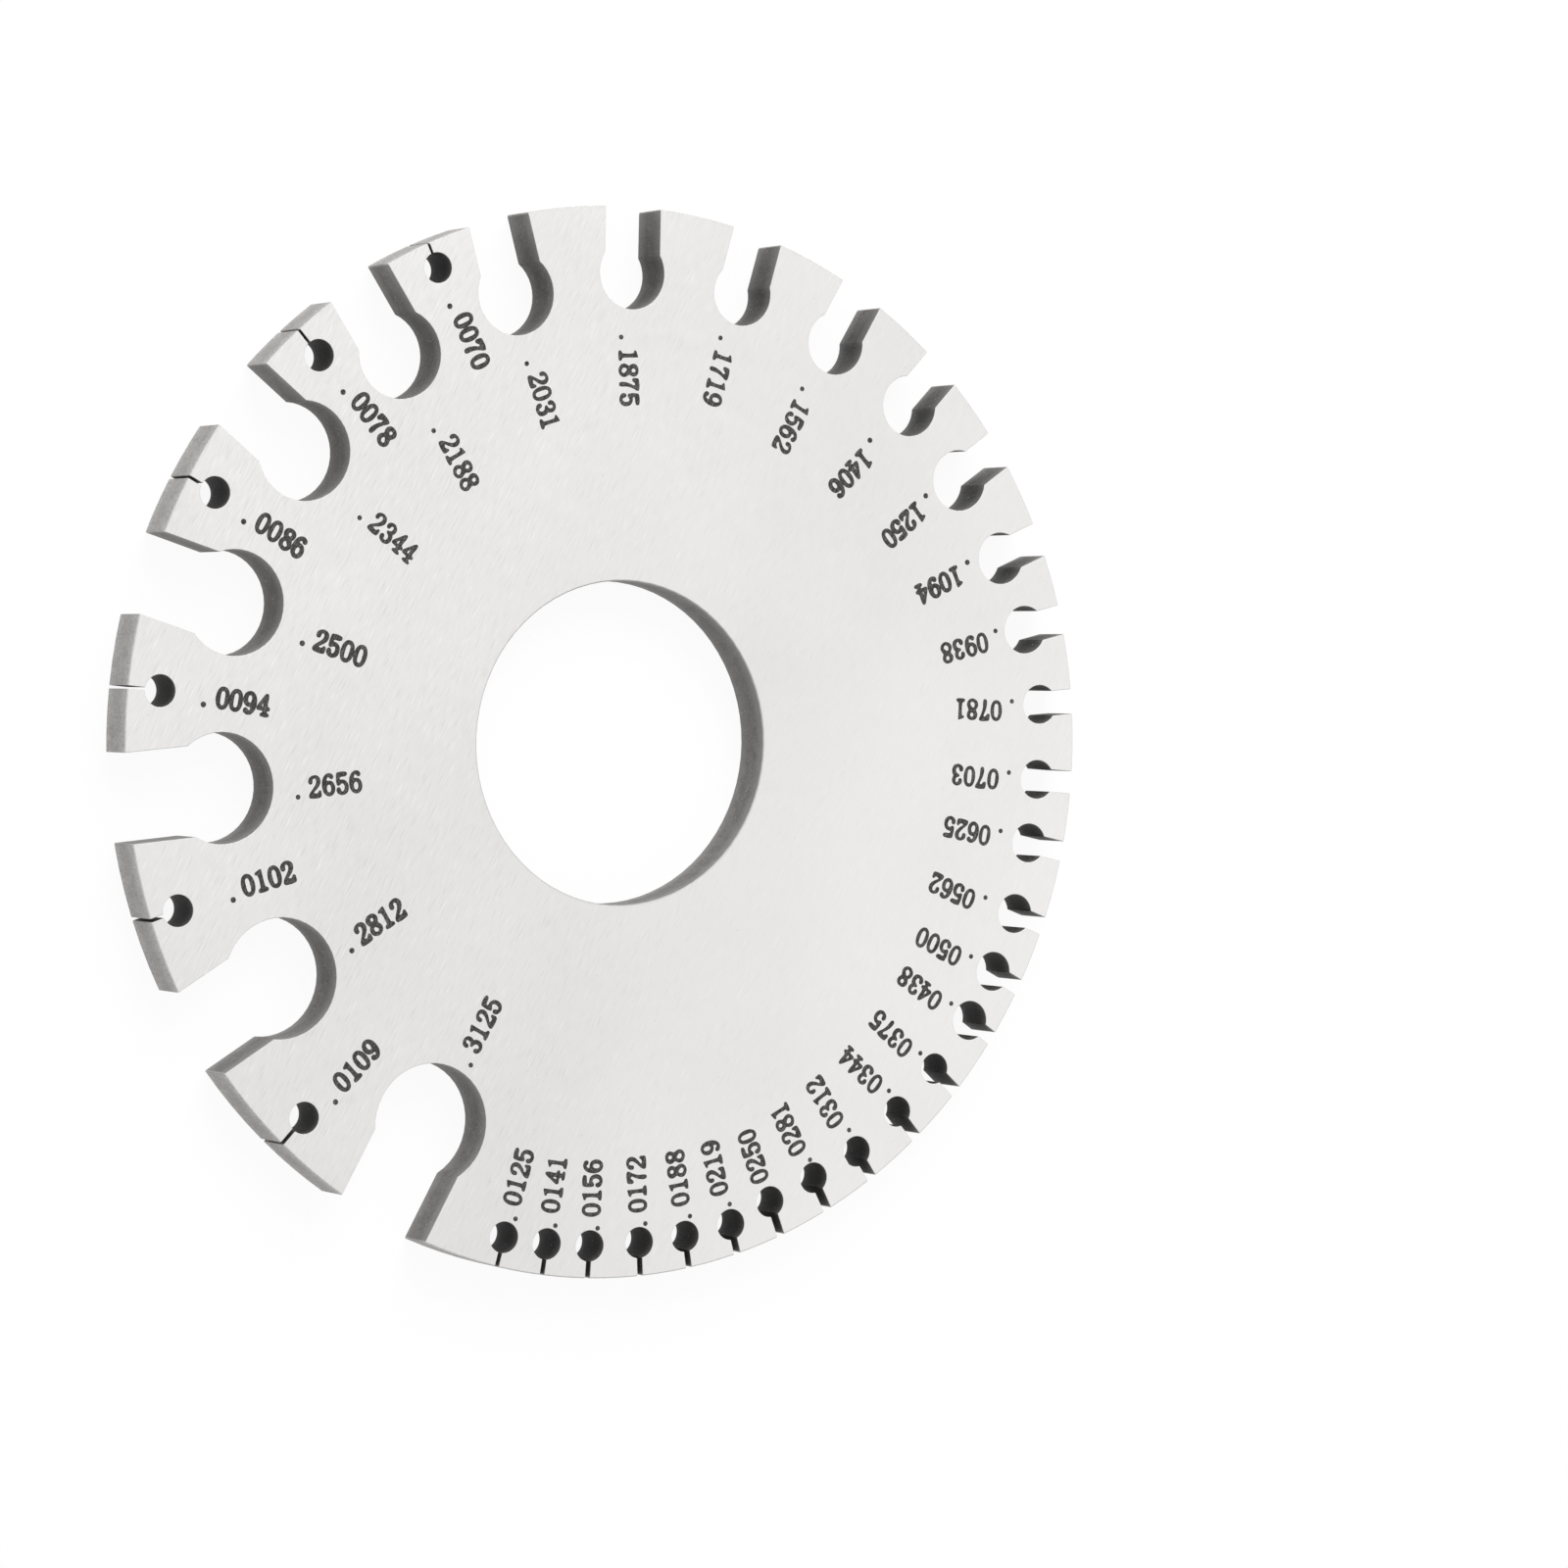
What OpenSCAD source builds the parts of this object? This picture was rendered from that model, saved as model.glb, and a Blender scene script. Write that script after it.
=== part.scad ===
/* [Plate] */
// Diameter of the round plate
plate_d = 82.55; // [76:0.05:100]
// Thickness of the plate
plate_t = 3.6; // [2:0.1:6]
// Diameter of the hole in the middle
bore_d = 25; // [12:0.5:40]
// Width of the broken edge round the rim and round the hole
edge_break = 0.1; // [0.05:0.05:0.4]

/* [Slot reliefs] */
// Relief drill behind the finest slots
fine_drill = 2.4; // [1.6:0.1:3]
// Relief drill behind the slots of the next wider group
mid_drill = 3.1; // [2.4:0.1:3.6]

/* [Hidden] */
$fn = 96;
inch = 25.4;
rim_r = plate_d / 2;
bore_r = bore_d / 2;
// How far the cutters run past the faces and past the rim
overcut = 1;

// The gauge slots, widest first: width in inches, bearing in degrees from +X,
// relief drill, and how deep below the rim the relief's centre lies
main_slots = [
    [0.3125, 241.0, 9.3, 8.2],
    [0.2812, 211.7, 9.1, 7.7],
    [0.2656, 185.9, 8.3, 7.6],
    [0.2500, 162.5, 7.9, 7.1],
    [0.2344, 141.3, 7.5, 6.6],
    [0.2188, 123.4, 6.8, 6.3],
    [0.2031, 105.6, 6.4, 5.8],
    [0.1875, 89.3, 5.6, 5.1],
    [0.1719, 73.8, 5.0, 4.8],
    [0.1562, 59.4, 4.9, 4.7],
    [0.1406, 46.5, 4.8, 4.3],
    [0.1250, 34.9, 4.8, 4.5],
    [0.1094, 23.6, 4.1, 4.0],
    [0.0938, 14.2, 3.8, 3.6],
    [0.0781, 4.9, mid_drill, 3.1],
    [0.0703, -4.2, mid_drill, 3.3],
    [0.0625, -12.0, mid_drill, 3.3],
    [0.0562, -20.7, mid_drill, 2.9],
    [0.0500, -28.2, mid_drill, 2.8],
    [0.0438, -34.8, mid_drill, 2.6],
    [0.0375, -42.2, fine_drill, 2.8],
    [0.0344, -49.3, fine_drill, 2.8],
    [0.0312, -56.4, fine_drill, 2.6],
    [0.0281, -62.9, fine_drill, 2.9],
    [0.0250, -69.3, fine_drill, 2.9],
    [0.0219, -75.0, fine_drill, 2.4],
    [0.0188, -81.1, fine_drill, 2.5],
    [0.0172, -87.1, fine_drill, 2.6],
    [0.0156, -93.5, fine_drill, 2.5],
    [0.0141, -99.0, fine_drill, 2.4],
    [0.0125, -104.5, fine_drill, 2.3]
];

// The six finest slots, each in the tooth between two of the widest slots
tooth_slots = [
    [0.0109, 226.6, fine_drill, 2.6],
    [0.0102, 198.7, fine_drill, 2.3],
    [0.0094, 174.5, fine_drill, 2.6],
    [0.0086, 151.8, fine_drill, 2.4],
    [0.0078, 132.0, fine_drill, 2.5],
    [0.0070, 114.3, 2.3, 2.0]
];

// Half section of the plate before the slots are cut
module ring_profile() {
    polygon([
        [bore_r + edge_break, 0],
        [rim_r - edge_break, 0],
        [rim_r, edge_break],
        [rim_r, plate_t - edge_break],
        [rim_r - edge_break, plate_t],
        [bore_r + edge_break, plate_t],
        [bore_r, plate_t - edge_break],
        [bore_r, edge_break]
    ]);
}

// Keyhole seen from above: a round relief and a parallel slot from it out past the rim
module keyhole(width, relief_d, relief_depth) {
    relief_r = rim_r - relief_depth;
    translate([relief_r, 0])
        circle(d = relief_d);
    translate([relief_r, -width / 2])
        square([relief_depth + overcut, width]);
}

// One gauge slot through the plate at its bearing
module slot_cut(slot) {
    rotate([0, 0, slot[1]])
        translate([0, 0, -overcut])
            linear_extrude(plate_t + 2 * overcut)
                keyhole(slot[0] * inch, slot[2], slot[3]);
}

module gauge_plate() {
    color("gainsboro")
        difference() {
            rotate_extrude()
                ring_profile();
            for (slot = main_slots)
                slot_cut(slot);
            for (slot = tooth_slots)
                slot_cut(slot);
        }
}

gauge_plate();
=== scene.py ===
"""A wire gauge plate in ground steel, with its etched numbers, on a pale studio floor.

Sizes are written in millimetres and turned into metres by MM. The frame is the CAD model's own: the middle
hole runs along Z, the plain back lies on z = 0 and the marked face looks up.
"""
import math
import random

import bmesh
import bpy
from mathutils import Matrix, Vector


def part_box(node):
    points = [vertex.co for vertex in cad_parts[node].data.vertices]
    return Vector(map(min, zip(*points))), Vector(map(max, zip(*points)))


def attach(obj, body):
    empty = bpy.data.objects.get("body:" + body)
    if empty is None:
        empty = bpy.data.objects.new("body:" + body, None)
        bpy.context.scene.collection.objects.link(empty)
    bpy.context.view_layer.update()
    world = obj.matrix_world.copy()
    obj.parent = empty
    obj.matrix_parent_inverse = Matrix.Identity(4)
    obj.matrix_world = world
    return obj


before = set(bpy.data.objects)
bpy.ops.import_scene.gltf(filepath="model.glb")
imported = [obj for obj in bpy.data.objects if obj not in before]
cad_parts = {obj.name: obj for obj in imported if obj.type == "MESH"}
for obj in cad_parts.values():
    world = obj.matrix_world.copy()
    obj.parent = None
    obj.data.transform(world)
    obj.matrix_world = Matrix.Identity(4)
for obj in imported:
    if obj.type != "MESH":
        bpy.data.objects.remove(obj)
bpy.context.view_layer.update()

MM = 0.001
BODY = "root"

# The plate's own sizes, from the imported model.
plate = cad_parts["gauge_plate"]
plate_low, plate_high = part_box("gauge_plate")
FACE_Z = plate_high.z
RIM_RADIUS = (plate_high.x - plate_low.x) / 2

# The photograph's camera: where it stands, and the point of the marked face at the picture's middle.
LENS = 124.75
SENSOR = 36.0
CLIP_START = 10
EYE = (-197.1, 5.25, 372.9)
AIM = (14.4, -3.15, 3.6)

# The studio. Each soft box has a name, a place and a width in metres, and a power in watts. The room gives
# an even light. Where the floor is seen, this share of it is plain white, and the rest takes the shadow.
SOFT_BOXES = [
    ("key", (0.05, 0.55, 0.46), 0.5, 4.2),
    ("fill", (0.45, 0.10, 0.60), 0.8, 0.2),
]
ROOM_LIGHT = 0.645
FLOOR_WHITE = 0.93
FLOOR_HALF = 1500
FLOOR_GAP = 0.02

# Edges: the flats are made whole, and then the slots' sharp corners are eased, as tumbling leaves them.
EDGE_BREAK = 0.05
EDGE_STEPS = 2
SHARP_ANGLE = 60
FLAT_ANGLE = 0.5
JOIN_DISTANCE = 0.001

# Where each finish lies, by the upward part of the surface's normal and by the distance in from the rim.
WALL_TILT = 0.3
FLAT_TILT = 0.95
RIM_BAND = 0.12

# Colours, as a grey and its warmth.
FACE_DARK = (0.60, 0.02)
FACE_LIGHT = (0.78, 0.02)
RIM_DARK = (0.25, 0.06)
RIM_LIGHT = (0.45, 0.06)
RIM_RUBBED = (0.66, 0.03)
# The walls' two greys: the dark one in their deepest painted shade, the light one where they are open to
# the sky.
WALL_DARK = (0.008, 0.05)
WALL_LIGHT = (0.22, 0.05)
# The walls' rubbed grey marks wear and painted light together along their edges.
WALL_RUBBED_AND_LIT = (0.38, 0.05)
WALL_GRAIN = (0.42, 0.03)
ETCH_BLACK = (0.014, 0.14)
ETCH_WORN = (0.15, 0.10)

# How far the walls' painted shade looks for other walls, and the depth of the fine bumps.
SHADE_REACH = 8
BUMP_DEPTH = 0.01

# The face is ground along one direction, counted from +X, with stray scratches along another, and a painted
# light and shade makes it lighter towards one side and darker towards the other.
GRAIN_ANGLE = 62
STRAY_ANGLE = 28
PAINTED_LIGHT_SIDE = (-0.9, 0.44, 0.0)
SCRATCH_SHADE = 0.33

# Etched figures: how far they stand in the steel and above it.
ETCH_DEPTH = 0.05
ETCH_RISE = 0.01

# A number starts with its point. The first digit's middle follows it, then the other digits at even steps.
DIGIT_MIDDLE = 0.84
FIRST_DIGIT = 1.43
DIGIT_STEP = 1.12
POINT_LIFT = 0.2
HAND_SHIFT = 0.02
HAND_TURN = 1.0
CURVE_STEPS = 5
MERGE_DISTANCE = 0.0005

# The etch creeps under the outline: a little everywhere, and more on the numbers that took it deeper.
LIGHT_CREEP = 0.012
HEAVY_CREEP = 0.038
HEAVY = "2812 2500 1406 1250 1094 0109 0102 0094 0086 0078 0070".split()

# Each number, the bearing of its slot, the radius of its point, its baseline's offset from the slot's own
# line and its tilt. Numbers read from the rim towards the middle hole.
NUMBERS = [
    ("3125", 241.0, 27.60, -0.95, 0.0),
    ("2812", 211.7, 27.60, -1.55, 0.0),
    ("2656", 185.9, 27.60, -1.50, 0.0),
    ("2500", 162.5, 28.05, -1.35, -1.0),
    ("2344", 141.3, 28.05, -1.15, 0.0),
    ("2188", 123.4, 28.65, -0.95, -3.5),
    ("2031", 105.6, 30.10, -0.70, 2.5),
    ("1875", 89.3, 31.20, -1.05, 3.5),
    ("1719", 73.8, 32.55, -1.05, 1.0),
    ("1562", 59.4, 31.90, -0.90, 2.5),
    ("1406", 46.5, 32.45, -0.85, -2.5),
    ("1250", 34.9, 33.50, -0.90, 5.0),
    ("1094", 23.6, 34.25, -1.10, 0.5),
    ("0938", 14.2, 34.95, -0.75, 0.0),
    ("0781", 4.9, 35.55, -0.65, -7.0),
    ("0703", -4.2, 35.25, -0.55, -2.0),
    ("0625", -12.0, 35.15, -0.60, 0.5),
    ("0562", -20.7, 35.30, -0.45, -1.5),
    ("0500", -28.2, 36.05, -0.30, 2.0),
    ("0438", -34.8, 36.45, -0.35, 0.0),
    ("0375", -42.2, 36.65, -0.25, 0.0),
    ("0344", -49.3, 36.70, -0.70, 8.0),
    ("0312", -56.4, 36.85, -0.55, -0.5),
    ("0281", -62.9, 36.95, -0.55, 1.0),
    ("0250", -69.3, 37.60, -0.60, -1.5),
    ("0219", -75.0, 37.30, -0.50, -1.0),
    ("0188", -81.1, 37.30, -0.85, 0.0),
    ("0172", -87.1, 37.25, -0.80, 0.0),
    ("0156", -93.5, 37.40, -0.80, 2.0),
    ("0141", -99.0, 37.40, -0.70, 0.0),
    ("0125", -104.5, 37.40, -0.80, -1.5),
    ("0109", 226.6, 36.10, -1.30, -1.5),
    ("0102", 198.7, 34.55, -0.90, -2.5),
    ("0094", 174.5, 35.15, -0.85, -3.5),
    ("0086", 151.8, 35.85, -0.95, -1.5),
    ("0078", 132.0, 35.45, -0.50, -1.5),
    ("0070", 114.3, 36.25, -0.45, 1.0),
]
# The point of this number falls in the relief hole behind its slot.
POINT_LOST = "0250"


def oval(x, y, half_width, half_height):
    return [(x + half_width, y), (x, y + half_height), (x - half_width, y), (x, y - half_height)]


# Outlines of the figures in hundredths of a millimetre, from each figure's middle. Every point is smooth.
POINT = [oval(0, 0, 18, 18)]
DIGITS = {
    "0": [oval(0, 0, 53, 84), oval(0, 0, 21, 57)],
    "1": [[(15, 83), (8, 84), (-10, 78), (-31, 70), (-37, 62), (-30, 54), (-19, 49), (-15, 38),
           (-15, -35), (-18, -50), (-34, -60), (-39, -71), (-36, -80), (-27, -83), (27, -83),
           (36, -80), (39, -71), (34, -60), (19, -50), (16, -35), (16, 70)]],
    "2": [[(-33, 21), (-20, 28), (-17, 45), (-12, 59), (0, 63), (11, 56), (15, 40), (10, 20), (-10, -8),
           (-32, -32), (-47, -52), (-51, -70), (-47, -80), (-38, -84), (36, -84), (46, -79), (50, -50),
           (46, -33), (35, -31), (26, -42), (15, -50), (0, -49), (-10, -42), (5, -27), (28, -5),
           (44, 18), (49, 40), (43, 64), (25, 81), (2, 86), (-24, 80), (-44, 64), (-50, 42), (-45, 26)]],
    "3": [[(-28, 26), (-16, 33), (-12, 50), (0, 62), (11, 57), (14, 42), (9, 26), (0, 19), (-15, 13),
           (-19, 5), (-14, -3), (0, -10), (12, -18), (18, -34), (14, -51), (3, -60), (-8, -55),
           (-15, -38), (-28, -28), (-42, -33), (-48, -48), (-42, -66), (-25, -80), (0, -86), (24, -81),
           (42, -68), (51, -46), (51, -24), (45, -4), (37, 8), (43, 26), (45, 46), (38, 66), (20, 81),
           (-2, 86), (-24, 80), (-41, 66), (-46, 46), (-40, 31)]],
    "4": [[(18, 86), (8, 79), (-20, 35), (-41, 2), (-51, -20), (-48, -33), (-38, -37), (-8, -38),
           (1, -44), (0, -55), (-12, -61), (-17, -71), (-13, -79), (-5, -82), (40, -82), (49, -79),
           (52, -72), (47, -62), (36, -57), (33, -46), (39, -38), (51, -34), (55, -24), (49, -13),
           (38, -9), (33, 0), (33, 70), (28, 83)],
          [(-3, 15), (-13, -3), (-13, -12), (-1, -12), (2, 0)]],
    "5": [[(-38, 82), (-29, 86), (30, 86), (42, 81), (46, 70), (41, 59), (28, 53), (-6, 50), (-16, 45),
           (-17, 36), (-9, 30), (8, 29), (28, 20), (44, 3), (51, -22), (49, -48), (38, -69), (20, -81),
           (1, -86), (-22, -81), (-41, -68), (-49, -47), (-44, -32), (-32, -25), (-19, -31), (-13, -48),
           (-2, -60), (10, -54), (18, -38), (19, -18), (13, -4), (1, 2), (-12, -4), (-26, -12),
           (-39, -9), (-44, 4), (-44, 60)]],
    "6": [[(5, 86), (27, 81), (41, 69), (42, 53), (33, 42), (18, 44), (9, 53), (1, 58), (-7, 53),
           (-13, 40), (-10, 31), (8, 30), (30, 22), (45, 3), (52, -26), (47, -54), (32, -75), (6, -86),
           (-20, -79), (-40, -60), (-51, -30), (-53, 4), (-47, 38), (-33, 65), (-15, 80)],
          oval(2, -28, 19, 30)],
    "7": [[(-38, 84), (-28, 86), (36, 86), (47, 80), (47, 68), (34, 42), (21, 10), (14, -20), (13, -62),
           (9, -81), (-4, -87), (-16, -81), (-21, -62), (-17, -24), (-6, 10), (6, 36), (7, 47), (-2, 53),
           (-12, 49), (-22, 37), (-37, 29), (-48, 38), (-48, 58), (-45, 76)]],
    "8": [[(3, 86), (30, 80), (48, 61), (51, 40), (44, 20), (38, 7), (44, -10), (53, -34), (48, -60),
           (30, -78), (3, -86), (-23, -78), (-43, -60), (-49, -36), (-43, -15), (-32, 3), (-42, 26),
           (-46, 44), (-38, 68), (-20, 82)],
          oval(5, 44, 16, 18),
          [(24, -44), (12, -24), (-6, -14), (-19, -36), (-12, -53), (4, -61), (18, -56)]],
    "9": [[(-3, 86), (22, 79), (40, 60), (51, 32), (53, 0), (48, -34), (35, -62), (16, -80), (-5, -86),
           (-27, -81), (-42, -69), (-43, -52), (-33, -41), (-18, -44), (-9, -53), (0, -57), (7, -51),
           (11, -38), (8, -30), (-9, -28), (-31, -19), (-47, -1), (-54, 26), (-48, 54), (-32, 75)],
          oval(-2, 30, 19, 31)],
}
OUTLINE_UNIT = 0.01 * MM


class Shader:
    """The node tree of a material or world, with one call that adds a node and feeds its sockets."""

    def __init__(self, owner):
        owner.use_nodes = True
        self.tree = owner.node_tree
        self.tree.nodes.clear()

    def add(self, kind, sockets, out=0, **settings):
        node = self.tree.nodes.new("ShaderNode" + kind)
        for name, value in settings.items():
            setattr(node, name, value)
        for name, value in sockets.items():
            if isinstance(value, bpy.types.NodeSocket):
                self.tree.links.new(value, node.inputs[name])
            else:
                node.inputs[name].default_value = value
        return node.outputs[out] if node.outputs else None

    def math(self, operation, first, second=0.0, third=0.0):
        return self.add("Math", {0: first, 1: second, 2: third}, operation=operation)

    def mix(self, factor, first, second):
        return self.add("Mix", {0: factor, 6: first, 7: second}, out=2, data_type="RGBA")

    def spread(self, value, low, high, to_low=0.0, to_high=1.0, curve="LINEAR"):
        ends = {"From Min": low, "From Max": high, "To Min": to_low, "To Max": to_high}
        return self.add("MapRange", {"Value": value, **ends}, interpolation_type=curve)

    def noise(self, place, length, width, angle=0, detail=2.0):
        """Noise whose blots are length by width millimetres, with the length at that angle from +X."""
        size = (length * MM, width * MM, width * MM)
        turn = (0.0, 0.0, math.radians(angle))
        at = self.add("Mapping", {"Vector": place, "Rotation": turn, "Scale": size}, vector_type="TEXTURE")
        return self.add("TexNoise", {"Vector": at, "Scale": 1.0, "Detail": detail})


def grey(value, warmth=0.0):
    return (value, value * (1 - warmth / 2), value * (1 - warmth), 1.0)


def ground_face(shader, place):
    """Colour, roughness and height of the ground faces: straight scratches, strays across them, pits, and
    painted light and shade.
    """
    grain = shader.noise(place, 1.3, 0.10, GRAIN_ANGLE, detail=2.0)
    scratch = shader.noise(place, 1.6, 0.15, GRAIN_ANGLE, detail=1.0)
    stray = shader.noise(place, 1.3, 0.09, STRAY_ANGLE, detail=0.0)
    speck = shader.noise(place, 0.30, 0.30, detail=0.0)
    tone = shader.noise(place, 16.0, 16.0)
    # Painted light and shade: the face is lighter towards one side and darker across the rest.
    across = shader.add("VectorMath", {0: place, 1: PAINTED_LIGHT_SIDE}, out="Value", operation="DOT_PRODUCT")
    painted_side_light = shader.spread(across, -38 * MM, -9 * MM, 0.24, -0.09)
    side = shader.add("SeparateXYZ", {"Vector": place}, out="X")
    bite = shader.spread(side, 15 * MM, -20 * MM, 0.4, 1.0)
    fine = shader.spread(grain, 0.25, 0.75, -0.4, 0.4)
    deep = shader.spread(scratch, 0.60, 0.72, 0.0, -1.0)
    burr = shader.spread(scratch, 0.38, 0.27, 0.0, 0.9)
    cut = shader.math("MULTIPLY", shader.math("ADD", fine, shader.math("ADD", deep, burr)), bite)
    across_grain = shader.spread(stray, 0.80, 0.88, 0.0, -0.9)
    marks = shader.math("ADD", across_grain, shader.spread(speck, 0.84, 0.88, 0.0, -1.2))
    shade = shader.math("ADD", painted_side_light, shader.spread(tone, 0.3, 0.7, 0.46, 0.64))
    level = shader.math("MULTIPLY_ADD", shader.math("ADD", cut, marks), SCRATCH_SHADE, shade)
    colour = shader.mix(level, grey(*FACE_DARK), grey(*FACE_LIGHT))
    roughness = shader.spread(grain, 0.3, 0.7, 0.34, 0.44)
    return colour, roughness, cut


def edge_band(shader, place):
    """0 on the middle of a wall, rising to 1 at its two edges."""
    height = shader.add("SeparateXYZ", {"Vector": place}, out="Z")
    from_middle = shader.math("ABSOLUTE", shader.math("SUBTRACT", height, FACE_Z / 2))
    return shader.spread(from_middle, FACE_Z * 0.15, FACE_Z * 0.5)


def milled_rim(shader, place, near_edge):
    """Colour and height of the outer wall: a granular mid grey, rubbed brighter along its edges."""
    grit = shader.noise(place, 0.20, 0.20, detail=2.0)
    cloud = shader.noise(place, 1.2, 1.2, detail=2.0)
    fine = shader.spread(grit, 0.25, 0.75, 0.0, 0.7)
    level = shader.math("ADD", fine, shader.spread(cloud, 0.3, 0.7, 0.0, 0.3))
    milled = shader.mix(level, grey(*RIM_DARK), grey(*RIM_LIGHT))
    rubbed = shader.math("MULTIPLY", near_edge, shader.spread(grit, 0.3, 0.7, 0.1, 0.6))
    return shader.mix(rubbed, milled, grey(*RIM_RUBBED)), grit


def drilled_wall(shader, place, near_edge):
    """Colour of the openings' walls: dark drilled steel with bright grains, painted shade in the small
    holes, and wear and painted light on the edges.
    """
    cloud = shader.noise(place, 0.9, 0.9, detail=3.0)
    grain = shader.noise(place, 0.16, 0.16, detail=2.0)
    # Painted shade: the colour darkens where other walls of the plate hide the sky, most in the small
    # holes.
    reach = {"Distance": SHADE_REACH * MM}
    open_sky = shader.add("AmbientOcclusion", reach, out="AO", samples=5, only_local=True)
    light = shader.spread(open_sky, 0.42, 0.84, 0.10, 0.97, curve="SMOOTHSTEP")
    fine = shader.spread(grain, 0.3, 0.7, -0.1, 0.25)
    mottle = shader.math("ADD", shader.spread(cloud, 0.3, 0.7, 0.65, 0.9), fine)
    dark = shader.mix(shader.math("MULTIPLY", mottle, light), grey(*WALL_DARK), grey(*WALL_LIGHT))
    # Painted light and wear: the wall is lighter towards its top and bottom edges, more so where it is open
    # to the sky.
    wear_and_painted_light = shader.math("MULTIPLY_ADD", near_edge, 0.12, shader.math("MULTIPLY", light, 0.45))
    rubbed = shader.math("MULTIPLY", near_edge, wear_and_painted_light)
    edged = shader.mix(rubbed, dark, grey(*WALL_RUBBED_AND_LIT))
    return shader.mix(shader.spread(grain, 0.68, 0.76), edged, grey(*WALL_GRAIN))


def ground_steel():
    """The plate's steel: bright ground faces, a milled rim, and dark drilled walls in every opening."""
    material = bpy.data.materials.new("ground_steel")
    shader = Shader(material)
    place = shader.add("TexCoord", {}, out="Object")
    normal = shader.add("NewGeometry", {}, out="True Normal")
    upright = shader.add("SeparateXYZ", {"Vector": normal}, out="Z")
    tilt = shader.math("ABSOLUTE", upright)
    on_face = shader.spread(tilt, WALL_TILT, 1.0)
    on_flat = shader.math("GREATER_THAN", tilt, FLAT_TILT)
    flat = shader.add("VectorMath", {0: place, 1: (1.0, 1.0, 0.0)}, operation="MULTIPLY")
    radius = shader.add("VectorMath", {0: flat}, out="Value", operation="LENGTH")
    on_rim = shader.math("GREATER_THAN", radius, RIM_RADIUS - RIM_BAND * MM)

    face_colour, face_roughness, scratches = ground_face(shader, place)
    near_edge = edge_band(shader, place)
    rim_colour, grit = milled_rim(shader, place, near_edge)
    wall_colour = shader.mix(on_rim, drilled_wall(shader, place, near_edge), rim_colour)
    colour = shader.mix(on_face, wall_colour, face_colour)
    roughness = shader.add("Mix", {0: on_flat, 2: 0.6, 3: face_roughness}, data_type="FLOAT")
    height = shader.add("Mix", {0: on_flat, 2: grit, 3: scratches}, data_type="FLOAT")
    bump = shader.add("Bump", {"Height": height, "Strength": 0.25, "Distance": BUMP_DEPTH * MM})
    steel = shader.add("BsdfPrincipled", {
        "Base Color": colour,
        "Metallic": shader.spread(on_flat, 0.0, 1.0, 0.4, 1.0),
        "Specular IOR Level": 0.15,
        "Roughness": roughness,
        "Normal": bump,
    })
    shader.add("OutputMaterial", {"Surface": steel})
    return material


def black_etch():
    """The figures: a matt black bite, mottled, with the steel greying through in fine streaks."""
    material = bpy.data.materials.new("etched_numbers")
    shader = Shader(material)
    place = shader.add("TexCoord", {}, out="Object")
    mottle = shader.noise(place, 0.14, 0.14, detail=3.0)
    streak = shader.noise(place, 0.9, 0.07, GRAIN_ANGLE, detail=2.0)
    worn = shader.math("MULTIPLY", shader.spread(mottle, 0.35, 0.65), shader.spread(streak, 0.30, 0.65))
    colour = shader.mix(worn, grey(*ETCH_BLACK), grey(*ETCH_WORN))
    bump = shader.add("Bump", {"Height": mottle, "Strength": 0.3, "Distance": BUMP_DEPTH * MM})
    etch = shader.add("BsdfPrincipled", {
        "Base Color": colour,
        "Roughness": shader.spread(mottle, 0.3, 0.7, 0.60, 0.80),
        "Specular IOR Level": 0.3,
        "Normal": bump,
    })
    shader.add("OutputMaterial", {"Surface": etch})
    return material


def dress_plate(material):
    """The CAD plate keeps its shape. Its sharp edges are eased and its round walls shade smoothly."""
    plate.material_slots[0].material = material
    weld = plate.modifiers.new("join_faces", "WELD")
    weld.merge_threshold = JOIN_DISTANCE * MM
    flats = plate.modifiers.new("whole_flats", "DECIMATE")
    flats.decimate_type = "DISSOLVE"
    flats.angle_limit = math.radians(FLAT_ANGLE)
    edges = plate.modifiers.new("eased_edges", "BEVEL")
    edges.width = EDGE_BREAK * MM
    edges.segments = EDGE_STEPS
    edges.limit_method = "ANGLE"
    edges.angle_limit = math.radians(SHARP_ANGLE)
    normals = plate.modifiers.new("smooth_walls", "WEIGHTED_NORMAL")
    normals.weight = 100
    normals.keep_sharp = False


def figure_mesh(outlines, creep):
    """A figure as a thin closed slab, filled between its outlines, which the creep moves outwards."""
    curve = bpy.data.curves.new("figure", "CURVE")
    curve.dimensions = "2D"
    curve.fill_mode = "BOTH"
    curve.resolution_u = CURVE_STEPS
    curve.extrude = (ETCH_DEPTH + ETCH_RISE) / 2 * MM
    curve.offset = creep * MM
    for outline in outlines:
        spline = curve.splines.new("BEZIER")
        spline.bezier_points.add(len(outline) - 1)
        spline.use_cyclic_u = True
        for knot, (x, y) in zip(spline.bezier_points, outline):
            knot.co = (x * OUTLINE_UNIT, y * OUTLINE_UNIT, 0.0)
            knot.handle_left_type = "AUTO"
            knot.handle_right_type = "AUTO"
    drawn = bpy.data.objects.new("figure", curve)
    mesh = bpy.data.meshes.new_from_object(drawn)
    bpy.data.objects.remove(drawn)
    return mesh


def add_figure(solid, mesh, at):
    """Adds a copy of a figure to a number's mesh."""
    before = len(solid.verts)
    solid.from_mesh(mesh)
    solid.verts.ensure_lookup_table()
    bmesh.ops.transform(solid, matrix=at, verts=solid.verts[before:])


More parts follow.
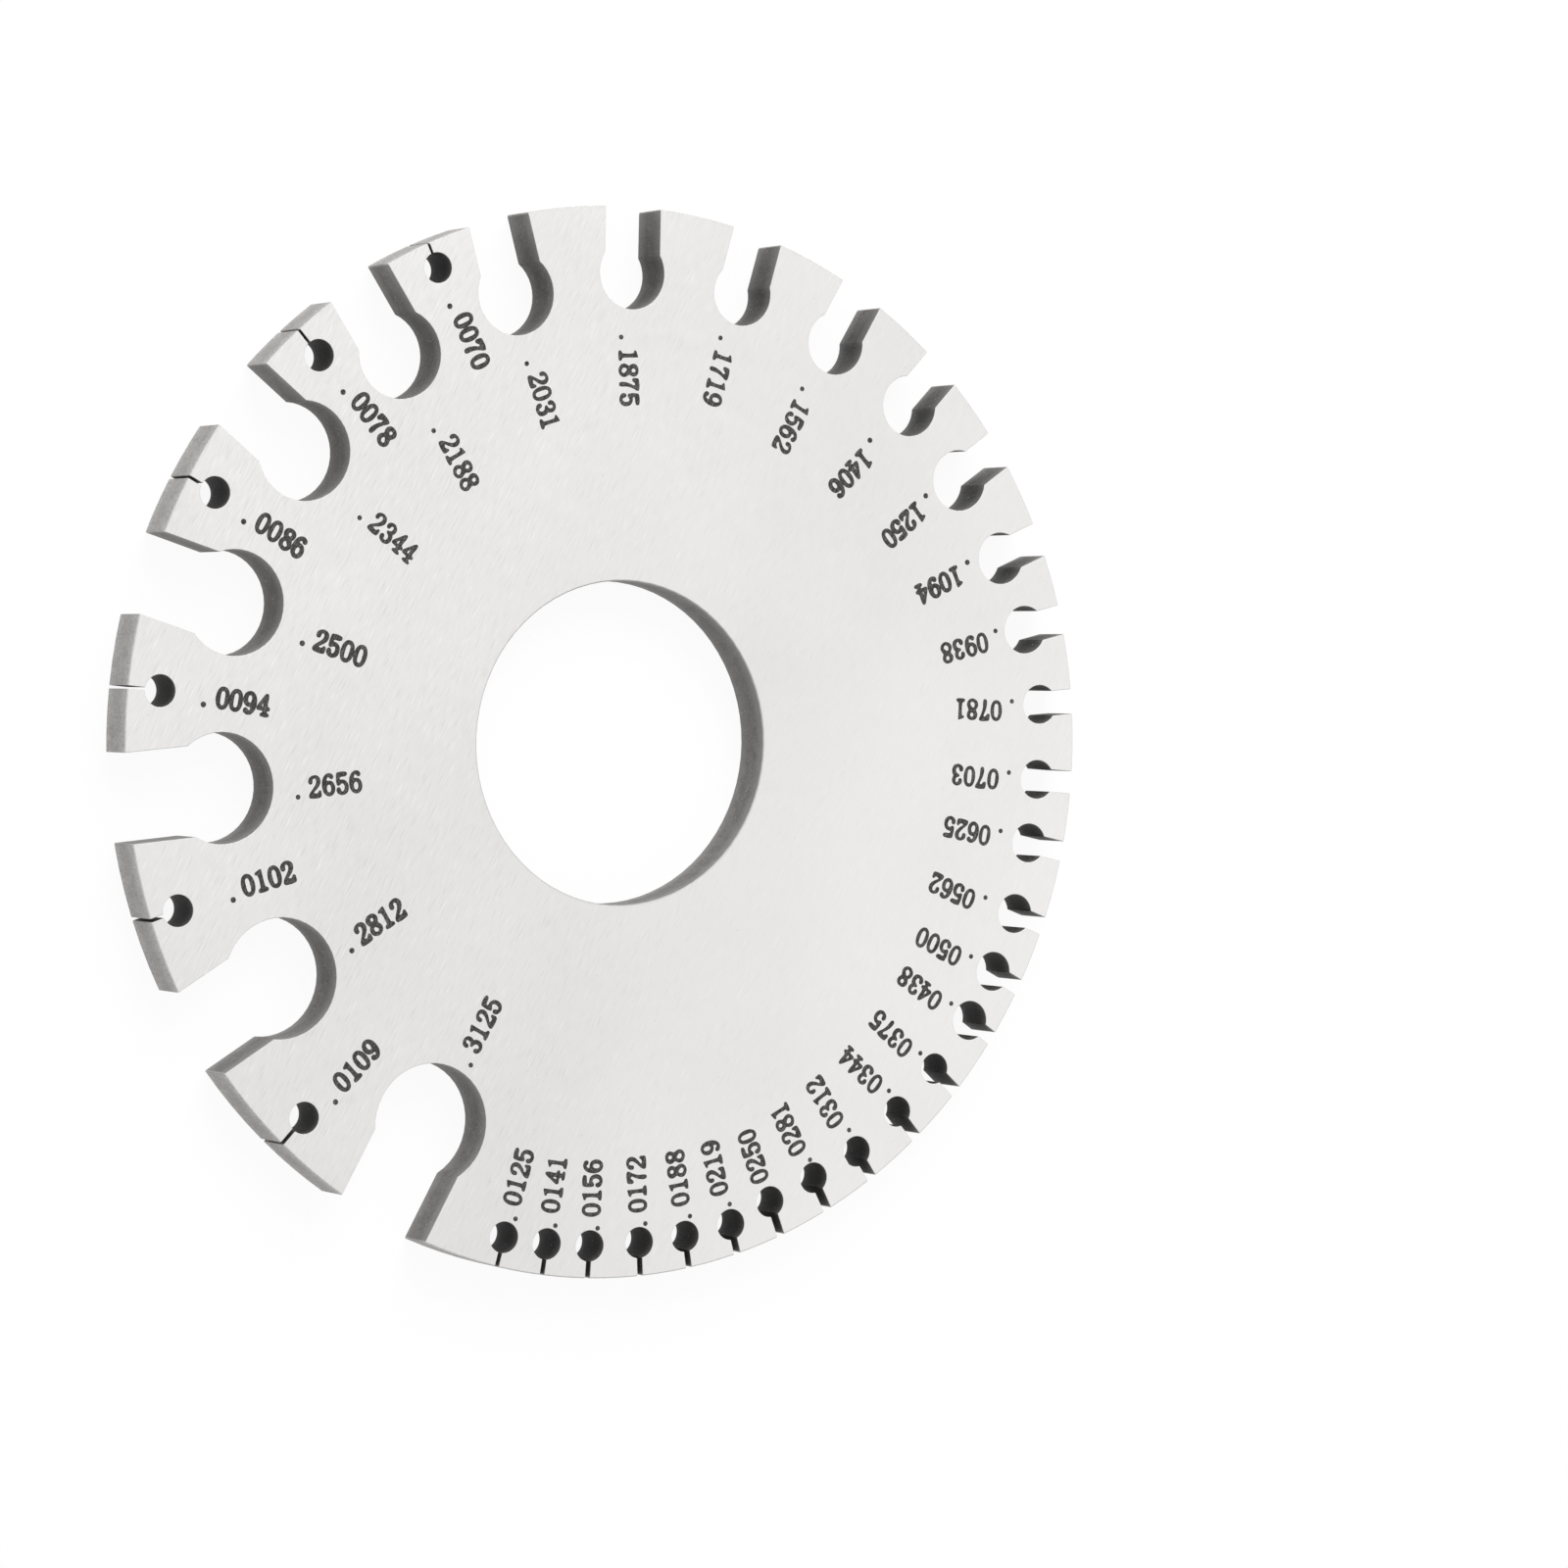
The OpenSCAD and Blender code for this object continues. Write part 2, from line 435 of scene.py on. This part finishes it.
def etched_number(text, bearing, point_radius, baseline, tilt, figures, material):
    """One number, in the frame of its slot: x runs from the rim inward, and y is the figures' up."""
    hand = random.Random(text)
    slot_frame = Matrix.Rotation(math.radians(bearing + 180), 4, "Z")
    level = FACE_Z + (ETCH_RISE - ETCH_DEPTH) / 2 * MM
    start = Matrix.Translation((-point_radius * MM, baseline * MM, level))
    line = Matrix.Rotation(math.radians(tilt), 4, "Z")
    first = Matrix.Translation((FIRST_DIGIT * MM, 0, 0))
    solid = bmesh.new()
    if text != POINT_LOST:
        add_figure(solid, figures["."], slot_frame @ start @ Matrix.Translation((0, POINT_LIFT * MM, 0)))
    for place, digit in enumerate(text):
        drift = Vector((hand.uniform(-1, 1), hand.uniform(-1, 1), 0)) * HAND_SHIFT * MM
        step = Vector((place * DIGIT_STEP * MM, DIGIT_MIDDLE * MM, 0))
        turn = Matrix.Rotation(math.radians(hand.uniform(-1, 1) * HAND_TURN), 4, "Z")
        at = slot_frame @ start @ first @ line @ Matrix.Translation(step + drift) @ turn
        add_figure(solid, figures[digit], at)
    bmesh.ops.remove_doubles(solid, verts=solid.verts, dist=MERGE_DISTANCE * MM)
    bmesh.ops.recalc_face_normals(solid, faces=solid.faces)
    mesh = bpy.data.meshes.new("number_" + text)
    solid.to_mesh(mesh)
    solid.free()
    mesh.materials.append(material)
    piece = bpy.data.objects.new("number_" + text, mesh)
    bpy.context.scene.collection.objects.link(piece)
    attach(piece, BODY)


def etch_numbers():
    """All the numbers, each in the light or the heavy etch that it took."""
    material = black_etch()
    shapes = {".": POINT, **DIGITS}
    light = {sign: figure_mesh(outlines, LIGHT_CREEP) for sign, outlines in shapes.items()}
    heavy = {sign: figure_mesh(outlines, HEAVY_CREEP) for sign, outlines in shapes.items()}
    for text, bearing, point_radius, baseline, tilt in NUMBERS:
        figures = heavy if text in HEAVY else light
        etched_number(text, bearing, point_radius, baseline, tilt, figures, material)


def seen(shader):
    """1 for rays that show a surface, directly, in metal or through glass, and 0 for those that light."""
    kinds = ["Is Camera Ray", "Is Glossy Ray", "Is Transmission Ray"]
    camera, glossy, through = [shader.add("LightPath", {}, out=kind) for kind in kinds]
    return shader.math("MAXIMUM", camera, shader.math("MAXIMUM", glossy, through))


def studio_floor():
    """A white floor that keeps a faint shadow of the plate."""
    half = FLOOR_HALF * MM
    mesh = bpy.data.meshes.new("floor")
    z = plate_low.z - FLOOR_GAP * MM
    corners = [(-half, -half, z), (half, -half, z), (half, half, z), (-half, half, z)]
    mesh.from_pydata(corners, [], [(0, 1, 2, 3)])
    material = bpy.data.materials.new("floor")
    shader = Shader(material)
    lit = shader.add("BsdfDiffuse", {"Color": grey(0.96)})
    white = shader.add("Emission", {"Color": grey(1.0), "Strength": 1.0})
    share = shader.math("MULTIPLY", seen(shader), FLOOR_WHITE)
    shader.add("OutputMaterial", {"Surface": shader.add("MixShader", {0: share, 1: lit, 2: white})})
    mesh.materials.append(material)
    floor = bpy.data.objects.new("floor", mesh)
    bpy.context.scene.collection.objects.link(floor)


def studio_world():
    """A soft white room: plain white where it is seen, and a lower even light on everything else."""
    world = bpy.data.worlds.new("studio")
    shader = Shader(world)
    strength = shader.spread(seen(shader), 0.0, 1.0, ROOM_LIGHT, 1.0)
    room = shader.add("Background", {"Color": grey(1.0), "Strength": strength})
    shader.add("OutputWorld", {"Surface": room})
    bpy.context.scene.world = world


def soft_lamp(name, place, size, power):
    """A square soft box aimed at the plate's middle."""
    data = bpy.data.lights.new(name, "AREA")
    data.shape = "SQUARE"
    data.size = size
    data.energy = power
    lamp = bpy.data.objects.new(name, data)
    lamp.location = place
    lamp.rotation_euler = (-Vector(place)).to_track_quat("-Z", "Y").to_euler()
    bpy.context.scene.collection.objects.link(lamp)


def photo_camera():
    """The camera of the photograph. The picture's up runs along the plate's +Y."""
    eye = Vector(EYE) * MM
    back = (eye - Vector(AIM) * MM).normalized()
    up = back.cross(Vector((1, 0, 0))).normalized()
    right = up.cross(back)
    data = bpy.data.cameras.new("camera")
    data.lens = LENS
    data.sensor_width = SENSOR
    data.clip_start = CLIP_START * MM
    camera = bpy.data.objects.new("camera", data)
    camera.matrix_world = Matrix.Translation(eye) @ Matrix((right, up, back)).transposed().to_4x4()
    bpy.context.scene.collection.objects.link(camera)
    bpy.context.scene.camera = camera


photo_camera()
dress_plate(ground_steel())
etch_numbers()
studio_floor()
studio_world()
for soft_box in SOFT_BOXES:
    soft_lamp(*soft_box)
bpy.context.scene.view_settings.view_transform = "Standard"

bpy.context.view_layer.update()
